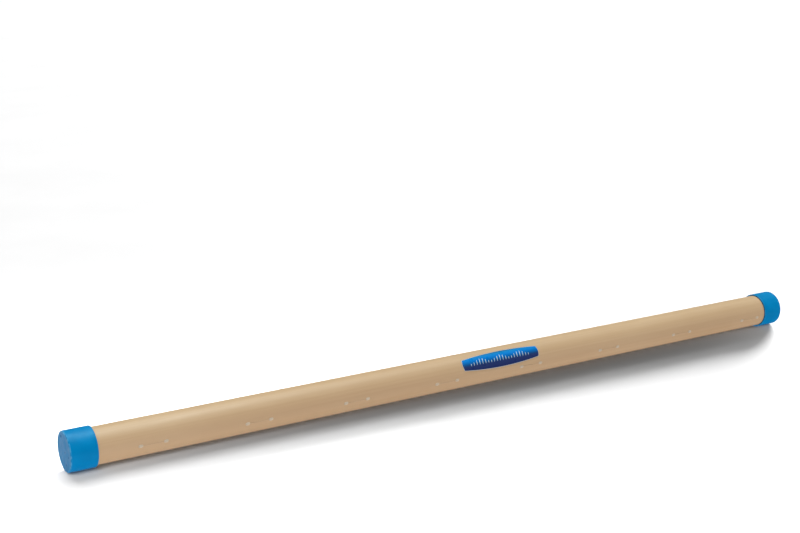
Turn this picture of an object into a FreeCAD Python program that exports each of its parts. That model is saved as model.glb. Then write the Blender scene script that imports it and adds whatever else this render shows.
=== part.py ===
import FreeCAD, Part
import math
import os

# Capped plastic stick, lying along X. Millimetres and degrees, +Z up.
# The origin is on the floor under the middle of the stick, which lies on its two end caps.
# Angles about the stick's axis start at -Y, the side that faces the player, and rise towards +Z.

# Tube: 1 1/2 inch plastic pipe, cut square
TUBE_LENGTH = 1200.0
TUBE_RADIUS = 24.15
TUBE_WALL = 3.68
TUBE_END_CHAMFER = 0.4

# End caps: soft cups pushed over the tube's ends
CAP_WALL = 2.3
CAP_END_WALL = 3.2
CAP_LENGTH = 35.8
CAP_SEAT_GAP = 0.1
CAP_CLEARANCE = 0.08
CAP_FACE_FILLET = 1.8
CAP_MOUTH_FILLET = 0.5
GATE_RADIUS = 2.0
GATE_DEPTH = 0.5
GATE_REACH = 19.6
GATE_ANGLE = 117.0

# Clips: a row of two-legged clips along the lower front of the tube
CLIP_COUNT = 8
CLIP_PITCH = 147.2
CLIP_SPAN = 34.0
CLIP_ANGLE = -8.8
ROW_MIDDLE_X = 19.6
HEAD_RADIUS = 2.2
HEAD_STRAIGHT = 2.0
HEAD_HEIGHT = 1.1
LEG_RADIUS = 1.4
LEG_HOLE_RADIUS = 1.5
BARB_RADIUS = 2.0
BARB_TIP_RADIUS = 0.9
BARB_LENGTH = 2.8
BRIDGE_RADIUS = 0.7
BRIDGE_HEIGHT = 0.5
SKIN_GAP = 0.02

# Label: a barrel-shaped domed badge on a slightly larger backing
LABEL_MIDDLE_X = 41.6
LABEL_ANGLE = 36.5
LABEL_HALF_LENGTH = 66.6
LABEL_CORNER_X = 65.2
LABEL_HALF_HEIGHT = 11.7
LABEL_CORNER_HEIGHT = 7.7
LABEL_CORNER_FILLET = 1.6
LABEL_BACKING_MARGIN = 0.35
LABEL_BACKING_THICKNESS = 0.25
LABEL_FACE_THICKNESS = 0.8

# Worked out from the dimensions above
TUBE_BORE_RADIUS = TUBE_RADIUS - TUBE_WALL
CAP_BORE_RADIUS = TUBE_RADIUS + CAP_CLEARANCE
CAP_RADIUS = CAP_BORE_RADIUS + CAP_WALL
AXIS_HEIGHT = CAP_RADIUS
CAP_FACE_X = TUBE_LENGTH / 2 + CAP_SEAT_GAP + CAP_END_WALL
CAP_MOUTH_X = CAP_FACE_X - CAP_LENGTH
ALONG_X = FreeCAD.Vector(1, 0, 0)
OUTWARD = FreeCAD.Vector(0, 0, 1)
TOLERANCE = 1e-4


def axial_cylinder(radius, low_x, high_x):
    """A solid cylinder on the stick's own axis, between two places along X."""
    base = FreeCAD.Vector(low_x, 0, AXIS_HEIGHT)
    return Part.makeCylinder(radius, high_x - low_x, base, ALONG_X)


def at_angle(shape, x, angle):
    """Move a shape drawn with +Z radial and X axial to its place around the stick."""
    turn = FreeCAD.Rotation(ALONG_X, 90 - angle)
    moved = shape.copy()
    moved.Placement = FreeCAD.Placement(FreeCAD.Vector(x, 0, AXIS_HEIGHT), turn)
    return moved


def circles_at(shape, x, radius):
    """The full circular edges of a shape that lie at one X with one radius."""
    found = []
    for edge in shape.Edges:
        if not isinstance(edge.Curve, Part.Circle):
            continue
        same_x = abs(edge.Curve.Center.x - x) < TOLERANCE
        if same_x and abs(edge.Curve.Radius - radius) < TOLERANCE:
            found.append(edge)
    return found


def clip_places():
    """The middle of each clip along X, evenly spaced about the middle of the row."""
    first = ROW_MIDDLE_X - CLIP_PITCH * (CLIP_COUNT - 1) / 2
    return [first + CLIP_PITCH * number for number in range(CLIP_COUNT)]


def make_tube():
    """The pipe, with a pair of small holes under each clip."""
    half = TUBE_LENGTH / 2
    tube = axial_cylinder(TUBE_RADIUS, -half, half)
    tube = tube.cut(axial_cylinder(TUBE_BORE_RADIUS, -half, half))
    rims = []
    for end_x in (-half, half):
        rims += circles_at(tube, end_x, TUBE_RADIUS)
        rims += circles_at(tube, end_x, TUBE_BORE_RADIUS)
    tube = tube.makeChamfer(TUBE_END_CHAMFER, rims)
    drill = Part.makeCylinder(LEG_HOLE_RADIUS, TUBE_RADIUS, FreeCAD.Vector(0, 0, HEAD_RADIUS), OUTWARD)
    for middle_x in clip_places():
        for side in (-1, 1):
            hole = at_angle(drill, middle_x + side * CLIP_SPAN / 2, CLIP_ANGLE)
            tube = tube.cut(hole)
    return tube


def make_cap(side):
    """A cup over one end of the tube: side is -1 for the near end and +1 for the far end."""
    cap = axial_cylinder(CAP_RADIUS, CAP_MOUTH_X, CAP_FACE_X)
    seat_x = CAP_FACE_X - CAP_END_WALL
    cap = cap.cut(axial_cylinder(CAP_BORE_RADIUS, CAP_MOUTH_X, seat_x))
    cap = cap.makeFillet(CAP_FACE_FILLET, circles_at(cap, CAP_FACE_X, CAP_RADIUS))
    cap = cap.makeFillet(CAP_MOUTH_FILLET, circles_at(cap, CAP_MOUTH_X, CAP_RADIUS))
    gate_turn = math.radians(GATE_ANGLE)
    gate_y = -GATE_REACH * math.cos(gate_turn)
    gate_z = AXIS_HEIGHT + GATE_REACH * math.sin(gate_turn)
    gate_base = FreeCAD.Vector(CAP_FACE_X - GATE_DEPTH, gate_y, gate_z)
    cap = cap.cut(Part.makeCylinder(GATE_RADIUS, GATE_DEPTH, gate_base, ALONG_X))
    if side < 0:
        cap = cap.mirror(FreeCAD.Vector(0, 0, 0), ALONG_X)
    return cap


def long_cylinder(radius):
    """A cylinder on the X axis, long enough to pass under a whole clip."""
    return Part.makeCylinder(radius, 2 * CLIP_SPAN, FreeCAD.Vector(-CLIP_SPAN, 0, 0), ALONG_X)


def make_head(x):
    """A low oval dome: a straight crowned middle between two round ends, its foot below the tube's skin."""
    crown_radius = (HEAD_RADIUS ** 2 + HEAD_HEIGHT ** 2) / (2 * HEAD_HEIGHT)
    crown_z = TUBE_RADIUS + HEAD_HEIGHT - crown_radius
    foot_z = TUBE_RADIUS - HEAD_HEIGHT
    tall = 3 * HEAD_HEIGHT
    low_x = x - HEAD_STRAIGHT / 2
    high_x = x + HEAD_STRAIGHT / 2
    crown = Part.makeCylinder(crown_radius, HEAD_STRAIGHT, FreeCAD.Vector(low_x, 0, crown_z), ALONG_X)
    block = Part.makeBox(HEAD_STRAIGHT, 2 * HEAD_RADIUS, tall, FreeCAD.Vector(low_x, -HEAD_RADIUS, foot_z))
    pieces = [crown.common(block)]
    for end_x, side_x in ((low_x, low_x - HEAD_RADIUS), (high_x, high_x)):
        sphere = Part.makeSphere(crown_radius, FreeCAD.Vector(end_x, 0, crown_z))
        post = Part.makeCylinder(HEAD_RADIUS, tall, FreeCAD.Vector(end_x, 0, foot_z), OUTWARD)
        half = Part.makeBox(HEAD_RADIUS, 2 * HEAD_RADIUS, tall, FreeCAD.Vector(side_x, -HEAD_RADIUS, foot_z))
        pieces.append(sphere.common(post).common(half))
    return pieces[0].fuse(pieces[1:])


def make_leg(x):
    """A round leg from inside the head, through the wall, to a tapered barb that locks behind it."""
    tip = FreeCAD.Vector(x, 0, TUBE_BORE_RADIUS - BARB_LENGTH)
    barb = Part.makeCone(BARB_TIP_RADIUS, BARB_RADIUS, BARB_LENGTH, tip, OUTWARD)
    barb = barb.common(long_cylinder(TUBE_BORE_RADIUS - SKIN_GAP))
    low = TUBE_BORE_RADIUS - BARB_LENGTH / 2
    high = TUBE_RADIUS + HEAD_HEIGHT / 2
    shank = Part.makeCylinder(LEG_RADIUS, high - low, FreeCAD.Vector(x, 0, low), OUTWARD)
    return barb.fuse(shank)


def make_clip():
    """One clip at X = 0: two domed heads, a thin bridge between them, and two barbed legs."""
    reach = CLIP_SPAN / 2
    bridge_base = FreeCAD.Vector(-reach, 0, TUBE_RADIUS + BRIDGE_HEIGHT - BRIDGE_RADIUS)
    bridge = Part.makeCylinder(BRIDGE_RADIUS, CLIP_SPAN, bridge_base, ALONG_X)
    outside = bridge.fuse([make_head(-reach), make_head(reach)])
    outside = outside.cut(long_cylinder(TUBE_RADIUS + SKIN_GAP))
    return outside.fuse([make_leg(-reach), make_leg(reach)]).removeSplitter()


def is_upright(edge):
    """True for a straight edge along Z."""
    if not isinstance(edge.Curve, (Part.Line, Part.LineSegment)):
        return False
    return abs(abs(edge.tangentAt(edge.FirstParameter).z) - 1) < TOLERANCE


def barrel_plate(margin, inner_radius, thickness):
    """A curved plate with the label's outline, grown by a margin, lying round the tube."""
    end_x = LABEL_HALF_LENGTH + margin
    corner_x = LABEL_CORNER_X + margin
    corner_y = LABEL_CORNER_HEIGHT + margin
    side_y = LABEL_HALF_HEIGHT + margin
    corners = [
        FreeCAD.Vector(corner_x, corner_y, 0),
        FreeCAD.Vector(-corner_x, corner_y, 0),
        FreeCAD.Vector(-corner_x, -corner_y, 0),
        FreeCAD.Vector(corner_x, -corner_y, 0),
    ]
    bulges = [
        FreeCAD.Vector(0, side_y, 0),
        FreeCAD.Vector(-end_x, 0, 0),
        FreeCAD.Vector(0, -side_y, 0),
        FreeCAD.Vector(end_x, 0, 0),
    ]
    edges = []
    for number in range(4):
        following = corners[(number + 1) % 4]
        edges.append(Part.Arc(corners[number], bulges[number], following).toShape())
    outline = Part.Face(Part.Wire(edges))
    prism = outline.extrude(FreeCAD.Vector(0, 0, 2 * TUBE_RADIUS))
    uprights = [edge for edge in prism.Edges if is_upright(edge)]
    prism = prism.makeFillet(LABEL_CORNER_FILLET, uprights)
    low = FreeCAD.Vector(-2 * end_x, 0, 0)
    shell = Part.makeCylinder(inner_radius + thickness, 4 * end_x, low, ALONG_X)
    shell = shell.cut(Part.makeCylinder(inner_radius, 4 * end_x, low, ALONG_X))
    return shell.common(prism)


def make_label_backing():
    """The thin backing that the badge sits on."""
    inner = TUBE_RADIUS + SKIN_GAP
    plate = barrel_plate(LABEL_BACKING_MARGIN, inner, LABEL_BACKING_THICKNESS)
    return at_angle(plate, LABEL_MIDDLE_X, LABEL_ANGLE)


def make_label_face():
    """The raised badge on top of its backing."""
    inner = TUBE_RADIUS + 2 * SKIN_GAP + LABEL_BACKING_THICKNESS
    plate = barrel_plate(0, inner, LABEL_FACE_THICKNESS)
    return at_angle(plate, LABEL_MIDDLE_X, LABEL_ANGLE)


def export(shape, node):
    """Write one node, after a check that it is one closed, valid solid."""
    solids = shape.Solids
    if len(solids) != 1 or not shape.isValid():
        raise RuntimeError(node + " is not one valid solid")
    solids[0].exportStep("parts/" + node + ".step")
    print(f"{node}: {solids[0].Volume:.1f} mm3")


os.makedirs("parts", exist_ok=True)
export(make_tube(), "tube")
export(make_cap(-1), "near_end_cap")
export(make_cap(1), "far_end_cap")
export(make_label_backing(), "label_backing")
export(make_label_face(), "label_face")
clip = make_clip()
for number, place in enumerate(clip_places(), start=1):
    export(at_angle(clip, place, CLIP_ANGLE), f"retaining_clip_{number}")
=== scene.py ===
import math

import bmesh
import bpy
from mathutils import Euler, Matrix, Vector


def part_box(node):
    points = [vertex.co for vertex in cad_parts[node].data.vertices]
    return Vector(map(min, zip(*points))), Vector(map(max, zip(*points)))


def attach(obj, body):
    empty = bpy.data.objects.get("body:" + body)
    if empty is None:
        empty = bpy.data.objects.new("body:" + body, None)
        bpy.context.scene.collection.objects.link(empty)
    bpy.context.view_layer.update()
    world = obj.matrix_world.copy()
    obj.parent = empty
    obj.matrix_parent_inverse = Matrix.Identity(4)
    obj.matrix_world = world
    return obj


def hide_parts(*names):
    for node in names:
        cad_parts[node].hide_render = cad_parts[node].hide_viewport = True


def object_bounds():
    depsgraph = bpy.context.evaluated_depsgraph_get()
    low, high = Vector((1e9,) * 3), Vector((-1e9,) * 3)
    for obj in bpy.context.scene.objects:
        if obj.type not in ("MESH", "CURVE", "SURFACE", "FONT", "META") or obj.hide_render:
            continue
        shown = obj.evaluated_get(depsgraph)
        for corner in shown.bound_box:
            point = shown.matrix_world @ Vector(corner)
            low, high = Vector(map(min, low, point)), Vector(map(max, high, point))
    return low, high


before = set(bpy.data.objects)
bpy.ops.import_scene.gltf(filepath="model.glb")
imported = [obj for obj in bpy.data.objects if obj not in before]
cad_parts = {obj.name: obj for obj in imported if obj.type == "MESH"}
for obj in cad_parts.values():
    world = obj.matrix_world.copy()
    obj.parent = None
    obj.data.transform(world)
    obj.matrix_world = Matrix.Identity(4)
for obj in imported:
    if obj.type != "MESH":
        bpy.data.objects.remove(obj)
cad_low, cad_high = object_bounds()

# Lengths are metres. Angles about the stick's axis start at -Y and rise towards +Z, in radians.
MM = 0.001
AXIS_Z = (cad_low.z + cad_high.z) / 2

# ---------------------------------------------------------------- what the frame says


def measure(node):
    """A CAD node's reach along X, about the stick's axis, and out from it."""
    points = [vertex.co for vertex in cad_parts[node].data.vertices]
    angles = [math.atan2(p.z - AXIS_Z, -p.y) for p in points]
    radii = [math.hypot(p.y, p.z - AXIS_Z) for p in points]
    low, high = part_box(node)
    return {"x": (low.x, high.x), "angle": (min(angles), max(angles)), "radius": (min(radii), max(radii))}


def middle(pair):
    """Halfway between two numbers."""
    return (pair[0] + pair[1]) / 2


TUBE = measure("tube")
TUBE_RADIUS = TUBE["radius"][1]
BORE_RADIUS = TUBE["radius"][0]
TUBE_END_X = TUBE["x"][1]

NEAR_CAP = measure("near_end_cap")
CAP_RADIUS = NEAR_CAP["radius"][1]
CAP_FACE_X = -NEAR_CAP["x"][0]
CAP_MOUTH_X = -NEAR_CAP["x"][1]

CLIP = measure("retaining_clip_1")
CLIP_MIDDLE_X = middle(CLIP["x"])
CLIP_PITCH = middle(measure("retaining_clip_2")["x"]) - CLIP_MIDDLE_X

LABEL = measure("label_face")
LABEL_LOW_ANGLE, LABEL_HIGH_ANGLE = LABEL["angle"]
LABEL_MIDDLE_X = middle(LABEL["x"])
LABEL_MIDDLE_ANGLE = middle(LABEL["angle"])
LABEL_BASE = LABEL["radius"][0]
LABEL_THICKNESS = LABEL["radius"][1] - LABEL["radius"][0]
LABEL_HALF_LENGTH = (LABEL["x"][1] - LABEL["x"][0]) / 2
LABEL_HALF_HEIGHT = math.sin((LABEL_HIGH_ANGLE - LABEL_LOW_ANGLE) / 2) * LABEL_BASE

# ---------------------------------------------------------------- sizes of the details

TURNED_SEGMENTS = 192

TUBE_END_ROUND = 0.4 * MM
TUBE_SPANS = 48

CAP_WALL = 2.3 * MM
CAP_END_WALL = 3.2 * MM
CAP_BORE_RADIUS = CAP_RADIUS - CAP_WALL
CAP_RIM_ROUND = 1.8 * MM
CAP_LIP_ROUND = 0.9 * MM
CAP_LIP_INNER_ROUND = 0.3 * MM
CAP_SEAT_ROUND = 0.8 * MM
CAP_FACE_DEPTH = 0.1 * MM
CAP_DISH = 0.25 * MM
CAP_DISH_POWER = 6
CAP_FACE_RINGS = 60
CAP_SIDE_SPANS = 16

# Each mark left by a moulding pin: its distance from the axis, its angle, its radius and its depth.
PIN_MARKS = [
    (19.6 * MM, math.radians(117), 2.3 * MM, 0.6 * MM),
    (17.5 * MM, math.radians(-7), 1.4 * MM, 0.3 * MM),
    (17.0 * MM, math.radians(-64), 1.4 * MM, 0.3 * MM),
    (3.2 * MM, math.radians(-5), 1.2 * MM, 0.2 * MM),
]

CLIP_HEAD_LENGTH = 6.4 * MM
BRIDGE_END = (CLIP["x"][1] - CLIP["x"][0]) / 2 - CLIP_HEAD_LENGTH

LABEL_CORNER_U = LABEL_HALF_LENGTH - 1.4 * MM
LABEL_CORNER_V = 0.66 * LABEL_HALF_HEIGHT
LABEL_CORNER_ROUND = 1.6 * MM
LABEL_EDGE_ROUND = 1.2 * MM
LABEL_EDGE_STEPS = 8
LABEL_SIDE_STEPS = 60
LABEL_END_STEPS = 10
LABEL_CORNER_STEPS = 8
CROWN_SCALES = (0.85, 0.7, 0.55, 0.4, 0.25, 0.1)
UNDERSIDE_SCALES = (0.1, 0.4, 0.7)
WELD_DISTANCE = 1e-7

TICK_COUNT = 21
TICK_SWELLS = 3
TICK_STEPS = 12
TICK_FIRST_U = -53 * MM
TICK_LAST_U = 48 * MM
TICK_FOOT_V = -3.4 * MM
TICK_SHORT = 3.4 * MM
TICK_TALL = 9.0 * MM
TICK_WIDTH = 0.9 * MM
TICK_LEAN = 0.12
PRINT_HEIGHT = 0.05 * MM

# ---------------------------------------------------------------- colours, as linear values

TAN = (0.50, 0.335, 0.200)
TAN_DARK = (0.475, 0.312, 0.182)
TAN_LIGHT = (0.525, 0.36, 0.22)
TAN_RUBBED = (0.62, 0.47, 0.33)
BLUE = (0.000, 0.190, 0.450)
BLUE_DARK = (0.000, 0.174, 0.422)
BLUE_LIGHT = (0.001, 0.206, 0.478)
# A paler blue, painted on as a highlight along the cap's rim and mouth
BLUE_RIM_HIGHLIGHT = (0.11, 0.37, 0.62)
# A deep blue, painted into the pin marks as shade
BLUE_PIT_SHADE = (0.000, 0.070, 0.230)
BLUE_GLOSS = (0.35, 0.80, 1.00, 1)
# From the badge's lower edge, at 0, to its upper edge, at 1
LABEL_STOPS = [
    (0.00, (0.013, 0.024, 0.106)),
    (0.34, (0.018, 0.034, 0.127)),
    (0.43, (0.006, 0.052, 0.178)),
    (0.56, (0.000, 0.118, 0.400)),
    (0.70, (0.000, 0.175, 0.580)),
    (0.85, (0.000, 0.202, 0.540)),
    (1.00, (0.000, 0.085, 0.160)),
]
FILM_LIGHT = (0.62, 0.72, 0.76)
FILM_DARK = (0.52, 0.62, 0.68)
SILVER_LIGHT = (0.70, 0.84, 0.90)
SILVER_DARK = (0.36, 0.42, 0.50)
NYLON_LIGHT = (0.575, 0.48, 0.375)
NYLON_DARK = (0.515, 0.425, 0.32)
BRIDGE_LIGHT = (0.54, 0.37, 0.23)
BRIDGE_DARK = (0.48, 0.32, 0.19)
PAPER_LIGHT = (0.93, 0.93, 0.93)
PAPER_DARK = (0.90, 0.90, 0.90)
TOP_COLOUR = (0.94, 1.00, 0.95)

# ---------------------------------------------------------------- sizes of the set and the camera

FLOOR_REACH = 30
FLAG_Y = 6 * MM
FLAG_HEIGHT = 3 * MM
SURROUND_STRENGTH = 0.08

CAMERA_PLACE = (-1.0887, -1.5865, 0.6859)
CAMERA_YAW = math.radians(31.460)
CAMERA_DOWN = math.radians(14.762)
CAMERA_LENS = 62.9
CAMERA_SENSOR_WIDTH = 36

# ---------------------------------------------------------------- mesh helpers


def link_mesh(name, bm):
    """Turn a bmesh into an object in the scene."""
    mesh = bpy.data.meshes.new(name)
    bm.to_mesh(mesh)
    bm.free()
    linked = bpy.data.objects.new(name, mesh)
    bpy.context.scene.collection.objects.link(linked)
    return linked


def new_piece(name, bm, body, material, replaced=()):
    """Turn a bmesh into a smooth-shaded piece that rides on a body."""
    bmesh.ops.recalc_face_normals(bm, faces=bm.faces)
    piece = link_mesh(name, bm)
    piece.data.shade_smooth()
    piece.data.materials.append(material)
    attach(piece, body)
    if replaced:
        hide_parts(*replaced)


def on_stick(x, angle, radius):
    """A point at X, at an angle about the stick's axis, at a distance from it."""
    return Vector((x, -radius * math.cos(angle), AXIS_Z + radius * math.sin(angle)))


def arc(centre_x, centre_r, radius, start, end, steps):
    """Points (x, r) along an arc in the half-plane of a turned profile. Angles are in degrees."""
    points = []
    for step in range(steps + 1):
        turn = math.radians(start + (end - start) * step / steps)
        points.append((centre_x + radius * math.cos(turn), centre_r + radius * math.sin(turn)))
    return points


def lathe(profile, segments, closed):
    """Turn (x, r) points about the stick's axis. A point with r = 0 becomes a pole."""
    bm = bmesh.new()
    rings = []
    for x, r in profile:
        if r <= 0:
            rings.append([bm.verts.new(on_stick(x, 0, 0))])
            continue
        turns = [2 * math.pi * number / segments for number in range(segments)]
        rings.append([bm.verts.new(on_stick(x, turn, r)) for turn in turns])
    pairs = list(zip(rings, rings[1:]))
    if closed:
        pairs.append((rings[-1], rings[0]))
    for one, two in pairs:
        for number in range(segments):
            after = (number + 1) % segments
            if len(one) == 1:
                bm.faces.new((one[0], two[number], two[after]))
            elif len(two) == 1:
                bm.faces.new((one[number], one[after], two[0]))
            else:
                bm.faces.new((one[number], one[after], two[after], two[number]))
    return bm


def bridge(bm, one, two):
    """Faces between two rings with the same number of vertices."""
    count = len(one)
    for number in range(count):
        after = (number + 1) % count
        bm.faces.new((one[number], one[after], two[after], two[number]))


def close_flat(bm, ring):
    """Close a ring that mirrors about v = 0, with faces from each point to the one across from it."""
    count = len(ring)
    for number in range(count // 2):
        across = [(count - number - 1) % count, (count - number) % count]
        corners = [ring[place] for place in (number, number + 1, *across)]
        unique = list(dict.fromkeys(corners))
        if len(unique) > 2:
            bm.faces.new(unique)


# ---------------------------------------------------------------- material helpers


class Shader:
    """A material with one Principled BSDF, and short calls that add nodes to it."""

    def __init__(self, name, **fixed):
        self.material = bpy.data.materials.new(name)
        self.material.use_nodes = True
        self.tree = self.material.node_tree
        self.bsdf = self.tree.nodes["Principled BSDF"]
        for socket, value in fixed.items():
            self.bsdf.inputs[socket.replace("_", " ")].default_value = value
        coordinates = self.tree.nodes.new("ShaderNodeTexCoord")
        self.place = coordinates.outputs["Object"]

    def link(self, source, target):
        """Join one socket to another."""
        self.tree.links.new(source, target)

    def colour(self, source):
        """Use a colour as the base colour."""
        self.link(source, self.bsdf.inputs["Base Color"])

    def roughness(self, pattern, smooth, rough):
        """Let a noise pattern carry the roughness from one value to another."""
        self.link(self.spread(pattern, 0.3, 0.7, smooth, rough), self.bsdf.inputs["Roughness"])

    def scaled(self, x, y, z):
        """Object coordinates, stretched by a factor along each axis."""
        mapping = self.tree.nodes.new("ShaderNodeMapping")
        mapping.inputs["Scale"].default_value = (x, y, z)
        self.link(self.place, mapping.inputs["Vector"])
        return mapping.outputs["Vector"]

    def noise(self, scale, detail=2.0, vector=None, roughness=0.5):
        """A noise value from 0 to 1, with features about 1 / scale metres across."""
        node = self.tree.nodes.new("ShaderNodeTexNoise")
        node.inputs["Scale"].default_value = scale
        node.inputs["Detail"].default_value = detail
        node.inputs["Roughness"].default_value = roughness
        self.link(vector or self.place, node.inputs["Vector"])
        return node.outputs["Fac"]

    def math(self, operation, one, two=0.0):
        """A Math node on two sockets or numbers."""
        node = self.tree.nodes.new("ShaderNodeMath")
        node.operation = operation
        for socket, value in zip(node.inputs, (one, two)):
            if isinstance(value, (int, float)):
                socket.default_value = value
            else:
                self.link(value, socket)
        return node.outputs["Value"]

    def length(self, one, two):
        """The long side of a right triangle, from its two short sides."""
        squares = self.math("ADD", self.math("MULTIPLY", one, one), self.math("MULTIPLY", two, two))
        return self.math("SQRT", squares)

    def spread(self, value, low, high, to_low=0.0, to_high=1.0):
        """Map a value from one range to another, smoothly and within its ends."""
        node = self.tree.nodes.new("ShaderNodeMapRange")
        node.interpolation_type = "SMOOTHSTEP"
        self.link(value, node.inputs["Value"])
        ends = {"From Min": low, "From Max": high, "To Min": to_low, "To Max": to_high}
        for name, number in ends.items():
            node.inputs[name].default_value = number
        return node.outputs["Result"]

    def ramp(self, value, stops):
        """A colour ramp through (position, colour) stops."""
        node = self.tree.nodes.new("ShaderNodeValToRGB")
        elements = node.color_ramp.elements
        while len(elements) < len(stops):
            elements.new(0.5)
        for element, (position, colour) in zip(elements, stops):
            element.position = position
            element.color = (*colour, 1)
        self.link(value, node.inputs["Fac"])
        return node.outputs["Color"]

    def mix(self, share, one, two):
        """Mix two colours by a share from 0 to 1."""
        node = self.tree.nodes.new("ShaderNodeMix")
        node.data_type = "RGBA"
        self.link(share, node.inputs["Factor"])
        for socket, value in ((node.inputs["A"], one), (node.inputs["B"], two)):
            if isinstance(value, tuple):
                socket.default_value = (*value, 1)
            else:
                self.link(value, socket)
        return node.outputs["Result"]

    def axis(self, letter):
        """The X, Y or Z of object coordinates."""
        node = self.tree.nodes.new("ShaderNodeSeparateXYZ")
        self.link(self.place, node.inputs["Vector"])
        return node.outputs[letter]

    def angle(self):
        """The angle about the stick's axis, in radians."""
        above = self.math("SUBTRACT", self.axis("Z"), AXIS_Z)
        return self.math("ARCTAN2", above, self.math("MULTIPLY", self.axis("Y"), -1.0))

    def label_share(self, angle):
        """How far up the badge an angle lies, from 0 to 1."""
        above = self.math("SUBTRACT", angle, LABEL_LOW_ANGLE)
        return self.math("DIVIDE", above, LABEL_HIGH_ANGLE - LABEL_LOW_ANGLE)

    def bump(self, layers):
        """Stack (height, distance, strength) bumps into the surface."""
        normal = None
        for height, distance, strength in layers:
            node = self.tree.nodes.new("ShaderNodeBump")
            node.inputs["Distance"].default_value = distance
            node.inputs["Strength"].default_value = strength
            self.link(height, node.inputs["Height"])
            if normal:
                self.link(normal, node.inputs["Normal"])
            normal = node.outputs["Normal"]
        self.link(normal, self.bsdf.inputs["Normal"])


# ---------------------------------------------------------------- materials


def tube_plastic():
    """Tan extruded plastic: drawn-out streaks, faint blotches, rubbed ends and a satin skin."""
    shader = Shader("tube_plastic", IOR=1.5, Specular_IOR_Level=0.5)
    streaks = shader.noise(1.0, 3.0, shader.scaled(2.0, 420.0, 420.0))
    blotches = shader.noise(9.0, 3.0, shader.scaled(0.6, 1.0, 1.0))
    tone = shader.math("ADD", shader.math("MULTIPLY", streaks, 0.5), shader.math("MULTIPLY", blotches, 0.5))
    colour = shader.ramp(tone, [(0.32, TAN_DARK), (0.5, TAN), (0.68, TAN_LIGHT)])
    along = shader.math("ABSOLUTE", shader.axis("X"))
    from_end = shader.math("SUBTRACT", TUBE_END_X, along)
    scuffs = shader.noise(1.0, 4.0, shader.scaled(30.0, 300.0, 300.0), 0.7)
    under_cap = shader.spread(from_end, 30 * MM, 34 * MM, 1.0, 0.0)
    rubbed = shader.math("MULTIPLY", under_cap, shader.spread(scuffs, 0.45, 0.62))
    shader.colour(shader.mix(shader.math("MULTIPLY", rubbed, 0.35), colour, TAN_RUBBED))
    shader.roughness(shader.noise(60.0, 4.0, shader.scaled(0.3, 1.0, 1.0)), 0.40, 0.52)
    grain = shader.noise(1600.0, 2.0)
    shader.bump([(streaks, 0.04 * MM, 0.5), (grain, 0.02 * MM, 0.25)])
    return shader.material


def cap_vinyl():
    """Soft blue vinyl: mottled colour, a painted highlight on the rim and mouth, painted shade in the pin
    marks, and a fine moulded skin.
    """
    shader = Shader("cap_vinyl", IOR=1.52, Specular_IOR_Level=0.24, Specular_Tint=BLUE_GLOSS)
    mottle = shader.noise(55.0, 3.0)
    colour = shader.ramp(mottle, [(0.3, BLUE_DARK), (0.5, BLUE), (0.7, BLUE_LIGHT)])
    along = shader.math("ABSOLUTE", shader.axis("X"))
    y = shader.axis("Y")
    above = shader.math("SUBTRACT", shader.axis("Z"), AXIS_Z)
    out = shader.length(y, above)
    # Painted highlight: the rim round the face, and the mouth's lip at half strength, are lightened in
    # patches to a paler blue.
    at_face = shader.spread(along, CAP_FACE_X - 1.8 * MM, CAP_FACE_X - 1.0 * MM)
    rim = shader.math("MULTIPLY", at_face, shader.spread(out, CAP_RADIUS - 3.0 * MM, CAP_RADIUS - 1.6 * MM))
    mouth = shader.spread(along, CAP_MOUTH_X + 0.3 * MM, CAP_MOUTH_X + 1.2 * MM, 1.0, 0.0)
    edge = shader.math("MAXIMUM", rim, shader.math("MULTIPLY", mouth, 0.5))
    highlight_breakup = shader.noise(240.0, 4.0, None, 0.65)
    painted_rim_highlight = shader.math("MULTIPLY", edge, shader.spread(highlight_breakup, 0.36, 0.60))
    colour = shader.mix(shader.math("MULTIPLY", painted_rim_highlight, 0.6), colour, BLUE_RIM_HIGHLIGHT)
    # Painted shade: each pin mark's dimple on the face is darkened towards a deep blue.
    for distance, turn, radius, depth in PIN_MARKS:
        side = shader.math("ADD", y, distance * math.cos(turn))
        rise = shader.math("SUBTRACT", above, distance * math.sin(turn))
        pit_shade = shader.spread(shader.length(side, rise), 0.5 * radius, 1.3 * radius, 1.0, 0.0)
        colour = shader.mix(shader.math("MULTIPLY", pit_shade, at_face), colour, BLUE_PIT_SHADE)
    shader.colour(colour)
    shader.roughness(shader.noise(130.0, 4.0), 0.34, 0.46)
    skin = shader.noise(1300.0, 2.0)
    shader.bump([(mottle, 0.1 * MM, 0.35), (skin, 0.03 * MM, 0.3)])
    return shader.material


def label_blue():
    """Glossy printed badge: azure at its upper edge, falling to navy at its lower edge."""
    shader = Shader("label_blue", IOR=1.5, Specular_IOR_Level=0.18, Coat_Weight=0.15, Coat_Roughness=0.12)
    waver = shader.spread(shader.noise(500.0, 3.0), 0.2, 0.8, -0.02, 0.02)
    angle = shader.math("ADD", shader.angle(), waver)
    shader.colour(shader.ramp(shader.label_share(angle), LABEL_STOPS))
    shader.roughness(shader.noise(90.0, 3.0), 0.25, 0.4)
    shader.bump([(shader.noise(120.0, 2.0), 0.04 * MM, 0.4)])
    return shader.material


def finish_print(shader):
    """The fine unevenness of a printed film's roughness and surface."""
    shader.roughness(shader.noise(200.0, 3.0), 0.3, 0.42)
    shader.bump([(shader.noise(900.0, 2.0), 0.02 * MM, 0.3)])
    return shader.material


def label_film():
    """Thin white printed film with a slightly uneven tone."""
    shader = Shader("label_film", IOR=1.5)
    shader.colour(shader.ramp(shader.noise(400.0, 3.0), [(0.3, FILM_DARK), (0.7, FILM_LIGHT)]))
    return finish_print(shader)


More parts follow.
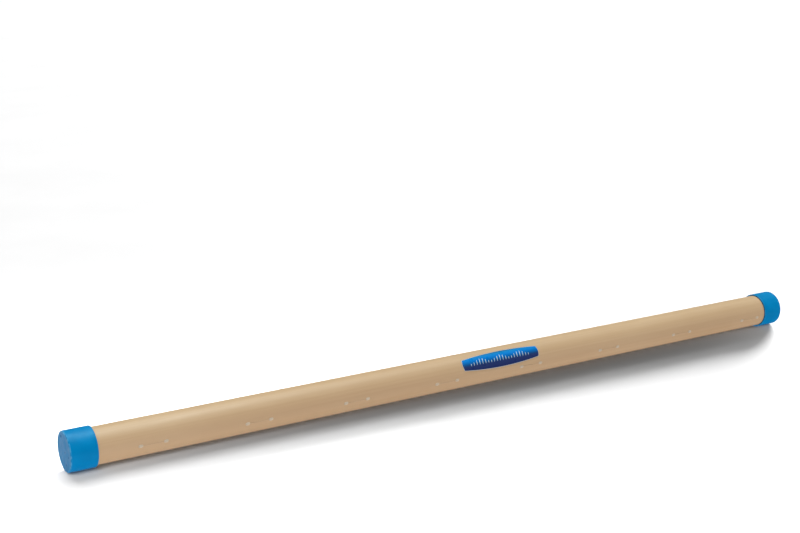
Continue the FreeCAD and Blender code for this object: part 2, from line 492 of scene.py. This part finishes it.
def label_silver():
    """Printed silver strokes, brighter towards the badge's upper edge."""
    shader = Shader("label_silver", IOR=1.5)
    grain = shader.spread(shader.noise(900.0, 3.0), 0.3, 0.7, -0.08, 0.08)
    share = shader.math("ADD", shader.label_share(shader.angle()), grain)
    shader.colour(shader.ramp(share, [(0.25, SILVER_DARK), (0.65, SILVER_LIGHT)]))
    return finish_print(shader)


def clip_nylon():
    """Clear, slightly milky nylon: the thin bridge takes on the tan behind it, the thick heads stay pale."""
    shader = Shader("clip_nylon", IOR=1.53)
    from_edge = shader.math("SUBTRACT", shader.axis("X"), CLIP_MIDDLE_X - CLIP_PITCH / 2)
    in_pitch = shader.math("FLOORED_MODULO", from_edge, CLIP_PITCH)
    from_middle = shader.math("ABSOLUTE", shader.math("SUBTRACT", in_pitch, CLIP_PITCH / 2))
    thick = shader.spread(from_middle, BRIDGE_END - 0.6 * MM, BRIDGE_END + 0.9 * MM)
    clouds = shader.noise(700.0, 3.0)
    head = shader.ramp(clouds, [(0.3, NYLON_DARK), (0.7, NYLON_LIGHT)])
    bridge_tone = shader.ramp(clouds, [(0.3, BRIDGE_DARK), (0.7, BRIDGE_LIGHT)])
    shader.colour(shader.mix(thick, bridge_tone, head))
    shader.roughness(shader.noise(900.0, 2.0), 0.30, 0.42)
    shader.bump([(shader.noise(2500.0, 2.0), 0.02 * MM, 0.3)])
    return shader.material


def floor_white():
    """Seamless white paper with the faintest mottling."""
    shader = Shader("floor_white", Roughness=0.9, Specular_IOR_Level=0.1)
    shader.colour(shader.ramp(shader.noise(3.0, 3.0), [(0.3, PAPER_DARK), (0.7, PAPER_LIGHT)]))
    return shader.material


# ---------------------------------------------------------------- the tube and its caps


def make_tube(material):
    """The pipe: a turned wall with softened cut ends."""
    shoulder = TUBE_END_X - TUBE_END_ROUND
    right = arc(shoulder, TUBE_RADIUS - TUBE_END_ROUND, TUBE_END_ROUND, 90, 0, 3)
    right += arc(shoulder, BORE_RADIUS + TUBE_END_ROUND, TUBE_END_ROUND, 0, -90, 3)
    left = [(-x, r) for x, r in reversed(right)]
    outside = []
    for number in range(1, TUBE_SPANS):
        outside.append((-shoulder + 2 * shoulder * number / TUBE_SPANS, TUBE_RADIUS))
    inside = [(-x, BORE_RADIUS) for x, r in outside]
    bm = lathe(outside + right + inside + left, TURNED_SEGMENTS, True)
    new_piece("tube_shell", bm, "stick", material, ["tube"])


def cap_profile():
    """The cup's (x, r) outline: from the middle of its face, round its rim and its mouth, to its seat."""
    rim_x = CAP_FACE_X - CAP_RIM_ROUND
    lip_x = CAP_MOUTH_X + CAP_LIP_ROUND
    seat_x = CAP_FACE_X - CAP_END_WALL
    face_radius = CAP_RADIUS - CAP_RIM_ROUND
    bore_lip = CAP_LIP_INNER_ROUND
    profile = [(CAP_FACE_X, 0.0)]
    for number in range(1, CAP_FACE_RINGS + 1):
        profile.append((CAP_FACE_X, face_radius * number / CAP_FACE_RINGS))
    profile += arc(rim_x, face_radius, CAP_RIM_ROUND, 0, 90, 10)[1:]
    for number in range(1, CAP_SIDE_SPANS):
        profile.append((rim_x - (rim_x - lip_x) * number / CAP_SIDE_SPANS, CAP_RADIUS))
    profile += arc(lip_x, CAP_RADIUS - CAP_LIP_ROUND, CAP_LIP_ROUND, 90, 180, 6)
    profile += arc(CAP_MOUTH_X + bore_lip, CAP_BORE_RADIUS + bore_lip, bore_lip, 180, 270, 3)
    profile += arc(seat_x - CAP_SEAT_ROUND, CAP_BORE_RADIUS - CAP_SEAT_ROUND, CAP_SEAT_ROUND, 90, 0, 4)
    profile.append((seat_x, 0.0))
    return profile


def sink_face(bm):
    """Dish the cup's face a little, and press the pin marks into it."""
    dish_radius = CAP_RADIUS - 2 * CAP_RIM_ROUND
    for vertex in bm.verts:
        if vertex.co.x < CAP_FACE_X - CAP_FACE_DEPTH:
            continue
        out = math.hypot(vertex.co.y, vertex.co.z - AXIS_Z)
        vertex.co.x -= CAP_DISH * max(0.0, 1 - (out / dish_radius) ** CAP_DISH_POWER)
        for distance, turn, radius, depth in PIN_MARKS:
            centre = on_stick(CAP_FACE_X, turn, distance)
            gap = math.hypot(vertex.co.y - centre.y, vertex.co.z - centre.z) / radius
            if gap < 1:
                vertex.co.x -= depth * (1 - gap ** 2) ** 0.5


def make_cap(name, side, node, body, material):
    """A soft cup. Its side is -1 at the near end of the tube and 1 at the far end."""
    bm = lathe(cap_profile(), TURNED_SEGMENTS, False)
    sink_face(bm)
    for vertex in bm.verts:
        vertex.co.x *= side
    new_piece(name, bm, body, material, [node])


# ---------------------------------------------------------------- the label


def label_point(u, v, height):
    """A point on the label: u along the stick and v up its flat pattern, in metres from its middle."""
    angle = LABEL_MIDDLE_ANGLE + math.asin(v / LABEL_BASE)
    return on_stick(LABEL_MIDDLE_X + u, angle, LABEL_BASE + height)


def arc_radius(chord_half, bulge):
    """The radius of an arc from half its chord and its bulge."""
    return (chord_half ** 2 + bulge ** 2) / (2 * bulge)


def corner_centre(side_radius, side_centre_v, end_radius, end_centre_u):
    """The centre of the corner's fillet, which touches the side arc and the end arc from inside."""
    reach_side = side_radius - LABEL_CORNER_ROUND
    reach_end = end_radius - LABEL_CORNER_ROUND
    gap = math.hypot(end_centre_u, side_centre_v)
    along = (reach_side ** 2 - reach_end ** 2 + gap ** 2) / (2 * gap)
    across = math.sqrt(reach_side ** 2 - along ** 2)
    unit_u = end_centre_u / gap
    unit_v = -side_centre_v / gap
    return along * unit_u + across * unit_v, side_centre_v + along * unit_v - across * unit_u


def label_outline(inset):
    """The badge's outline as (u, v) points, moved in by a distance: two sides, two ends, four fillets."""
    side_radius = arc_radius(LABEL_CORNER_U, LABEL_HALF_HEIGHT - LABEL_CORNER_V)
    end_radius = arc_radius(LABEL_CORNER_V, LABEL_HALF_LENGTH - LABEL_CORNER_U)
    side_v = LABEL_HALF_HEIGHT - side_radius
    end_u = LABEL_HALF_LENGTH - end_radius
    fillet_u, fillet_v = corner_centre(side_radius, side_v, end_radius, end_u)
    side_turn = math.atan2(fillet_v - side_v, fillet_u)
    end_turn = math.atan2(fillet_v, fillet_u - end_u)
    arcs = [
        (end_u, 0.0, end_radius, 0.0, end_turn, LABEL_END_STEPS),
        (fillet_u, fillet_v, LABEL_CORNER_ROUND, end_turn, side_turn, LABEL_CORNER_STEPS),
        (0.0, side_v, side_radius, side_turn, math.pi / 2, LABEL_SIDE_STEPS),
    ]
    quarter = []
    for centre_u, centre_v, radius, start, end, steps in arcs:
        for step in range(steps):
            turn = start + (end - start) * step / steps
            reach = radius - inset
            quarter.append((centre_u + reach * math.cos(turn), centre_v + reach * math.sin(turn)))
    top = [(0.0, LABEL_HALF_HEIGHT - inset)]
    upper = quarter[1:] + top + [(-u, v) for u, v in reversed(quarter[1:])]
    right = (LABEL_HALF_LENGTH - inset, 0.0)
    left = (-right[0], 0.0)
    lower = [(u, -v) for u, v in reversed(upper)]
    return [right] + upper + [left] + lower


def dome_height(inset):
    """The badge's height above its backing, at a distance in from its edge."""
    share = min(1.0, inset / LABEL_EDGE_ROUND)
    return LABEL_THICKNESS * math.sqrt(1 - (1 - share) ** 2)


def label_ring(bm, outline, scale, height):
    """The vertices of an outline, drawn in towards v = 0 by a scale, at a height above the backing."""
    return [bm.verts.new(label_point(u, v * scale, height)) for u, v in outline]


def make_label_dome(material):
    """The domed badge: a flat underside, an edge that steps in as it rises, and a flat crown."""
    bm = bmesh.new()
    edge = label_outline(0.0)
    crown = label_outline(LABEL_EDGE_ROUND)
    rings = [label_ring(bm, edge, scale, 0.0) for scale in UNDERSIDE_SCALES]
    for step in range(LABEL_EDGE_STEPS + 1):
        inset = LABEL_EDGE_ROUND * (1 - math.cos(math.pi / 2 * step / LABEL_EDGE_STEPS))
        rings.append(label_ring(bm, label_outline(inset), 1.0, dome_height(inset)))
    for scale in CROWN_SCALES:
        rings.append(label_ring(bm, crown, scale, LABEL_THICKNESS))
    for one, two in zip(rings, rings[1:]):
        bridge(bm, one, two)
    close_flat(bm, rings[0])
    close_flat(bm, rings[-1])
    bmesh.ops.remove_doubles(bm, verts=bm.verts, dist=WELD_DISTANCE)
    new_piece("label_dome", bm, "stick", material, ["label_face"])


def make_tick(bm, foot_u, height):
    """One raised stroke, tapered at both ends, that leans a little along the stick."""
    rings = []
    for step in range(TICK_STEPS + 1):
        rise = step / TICK_STEPS
        half = TICK_WIDTH / 2 * math.sin(math.pi * (0.06 + 0.88 * rise)) ** 0.6
        u = foot_u + TICK_LEAN * height * rise
        v = TICK_FOOT_V + height * rise
        corners = []
        for side, lift in ((-1, 0.0), (1, 0.0), (1, PRINT_HEIGHT), (-1, PRINT_HEIGHT)):
            corners.append(bm.verts.new(label_point(u + side * half, v, LABEL_THICKNESS + lift)))
        rings.append(corners)
    for one, two in zip(rings, rings[1:]):
        bridge(bm, one, two)
    bm.faces.new(rings[0])
    bm.faces.new(rings[-1])


def make_ticks(material):
    """A printed row of plain upright ticks, whose heights swell and fall evenly along the badge."""
    bm = bmesh.new()
    for number in range(TICK_COUNT):
        share = number / (TICK_COUNT - 1)
        foot_u = TICK_FIRST_U + (TICK_LAST_U - TICK_FIRST_U) * share
        swell = math.sin(math.pi * TICK_SWELLS * share) ** 2
        make_tick(bm, foot_u, TICK_SHORT + (TICK_TALL - TICK_SHORT) * swell)
    new_piece("label_ticks", bm, "stick", material)


# ---------------------------------------------------------------- the set


def make_floor(material):
    """A wide pale floor."""
    bm = bmesh.new()
    bmesh.ops.create_grid(bm, x_segments=1, y_segments=1, size=FLOOR_REACH)
    floor = link_mesh("floor", bm)
    floor.data.materials.append(material)
    return floor


def make_flag(material):
    """A low strip behind the tube, unseen by the camera, that keeps the low key from shining under it."""
    bm = bmesh.new()
    reach = CAP_MOUTH_X - 1 * MM
    corners = [(-reach, 0.0), (reach, 0.0), (reach, FLAG_HEIGHT), (-reach, FLAG_HEIGHT)]
    bm.faces.new([bm.verts.new((x, FLAG_Y, z)) for x, z in corners])
    flag = link_mesh("flag", bm)
    flag.data.materials.append(material)
    flag.visible_camera = False
    flag.visible_diffuse = False
    flag.visible_glossy = False
    return flag


def group(name, members):
    """A collection of pieces, for lights to be linked to."""
    collection = bpy.data.collections.new(name)
    for member in members:
        collection.objects.link(member)
    return collection


def add_light(name, data, receivers, place, target):
    """Add a light that shines straight on one group of pieces, and does not bounce on to the others."""
    data.cycles.max_bounces = 0
    light = bpy.data.objects.new(name, data)
    light.light_linking.receiver_collection = receivers
    light.location = place
    light.rotation_euler = (Vector(target) - Vector(place)).to_track_quat("-Z", "Y").to_euler()
    bpy.context.scene.collection.objects.link(light)
    return light


def far_softbox(name, receivers, bearing, elevation, spread, strength):
    """A broad distant light. Angles are in degrees, and bearings run from +Y, behind the stick, to +X."""
    data = bpy.data.lights.new(name, "SUN")
    data.energy = strength
    data.angle = math.radians(spread)
    turn = math.radians(bearing)
    rise = math.radians(elevation)
    source = (math.sin(turn) * math.cos(rise), math.cos(turn) * math.cos(rise), math.sin(rise))
    return add_light(name, data, receivers, source, (0, 0, 0))


def floor_glow(name, receivers, bearing, strength):
    """The glow of a bright floor beside the stick: it comes from below level, and has no highlight."""
    light = far_softbox(name, receivers, bearing, elevation=-34, spread=60, strength=strength)
    light.light_linking.blocker_collection = receivers
    light.visible_glossy = False


def near_softbox(name, receivers, place, target, size, power):
    """A small rectangular light close to the stick. Its size is its width and its height."""
    data = bpy.data.lights.new(name, "AREA")
    data.shape = "RECTANGLE"
    data.size, data.size_y = size
    data.energy = power
    light = add_light(name, data, receivers, place, target)
    light.visible_camera = False


def light_floor(floor_group):
    """A low key from behind the far end draws the shadow, and pools of light soften it where it is pale."""
    far_softbox("floor_key", floor_group, bearing=55, elevation=12, spread=20, strength=13.5)
    near_softbox("floor_pool_front", floor_group, (-0.80, -0.25, 0.35), (-0.70, 0, 0), (0.3, 0.3), 1.36)
    near_softbox("floor_pool_middle", floor_group, (-0.30, 0.50, 0.40), (-0.40, -0.05, 0), (0.8, 0.4), 6.0)
    near_softbox("floor_pool_back", floor_group, (-0.50, 0.25, 0.50), (-0.64, -0.03, 0), (0.3, 0.3), 1.95)
    near_softbox("floor_pool_end", floor_group, (0.70, -0.15, 0.10), (0.59, -0.03, 0), (0.1, 0.1), 0.15)
    base = far_softbox("floor_base", floor_group, bearing=0, elevation=90, spread=10, strength=0.15)
    base.light_linking.blocker_collection = floor_group


def light_stick(stick_group, cap_group):
    """The stick is lit from above and by the floor's glow, and its caps have a glow of their own as well."""
    top = far_softbox("stick_top", stick_group, bearing=0, elevation=85, spread=50, strength=4.25)
    top.data.color = TOP_COLOUR
    floor_glow("front_glow", stick_group, bearing=180, strength=2.95)
    floor_glow("back_glow", stick_group, bearing=0, strength=2.0)
    end_glow = far_softbox("end_glow", cap_group, bearing=-60, elevation=-15, spread=60, strength=1.0)
    end_glow.light_linking.blocker_collection = stick_group


def make_surround():
    """A dim even surround for everything but the camera, which sees plain white."""
    world = bpy.data.worlds.new("surround")
    world.use_nodes = True
    nodes = world.node_tree.nodes
    background = nodes["Background"]
    background.inputs["Color"].default_value = (1, 1, 1, 1)
    ray = nodes.new("ShaderNodeLightPath")
    strength = nodes.new("ShaderNodeMapRange")
    strength.inputs["To Min"].default_value = SURROUND_STRENGTH
    strength.inputs["To Max"].default_value = 1.0
    world.node_tree.links.new(ray.outputs["Is Camera Ray"], strength.inputs["Value"])
    world.node_tree.links.new(strength.outputs["Result"], background.inputs["Strength"])
    bpy.context.scene.world = world


def make_camera():
    """The photograph's viewing angle: from the near end's front left, a little above the stick."""
    data = bpy.data.cameras.new("camera")
    data.sensor_width = CAMERA_SENSOR_WIDTH
    data.lens = CAMERA_LENS
    camera = bpy.data.objects.new("camera", data)
    camera.location = CAMERA_PLACE
    camera.rotation_euler = Euler((math.pi / 2 - CAMERA_DOWN, 0, -CAMERA_YAW))
    bpy.context.scene.collection.objects.link(camera)
    bpy.context.scene.camera = camera


# ---------------------------------------------------------------- the scene

make_camera()
paper = floor_white()
stage = [make_floor(paper), make_flag(paper)]

make_tube(tube_plastic())
vinyl = cap_vinyl()
make_cap("near_cap_cup", -1, "near_end_cap", "near_cap", vinyl)
make_cap("far_cap_cup", 1, "far_end_cap", "far_cap", vinyl)
make_label_dome(label_blue())
make_ticks(label_silver())
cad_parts["label_backing"].data.materials[0] = label_film()
nylon = clip_nylon()
for name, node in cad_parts.items():
    if name.startswith("retaining_clip"):
        node.data.materials[0] = nylon

pieces = [piece for piece in bpy.context.scene.objects if piece.type == "MESH" and piece not in stage]
caps = [piece for piece in pieces if piece.name.endswith("cap_cup")]
light_floor(group("floor_group", stage))
light_stick(group("stick_group", pieces), group("cap_group", caps))
make_surround()

bpy.context.scene.view_settings.view_transform = "Standard"
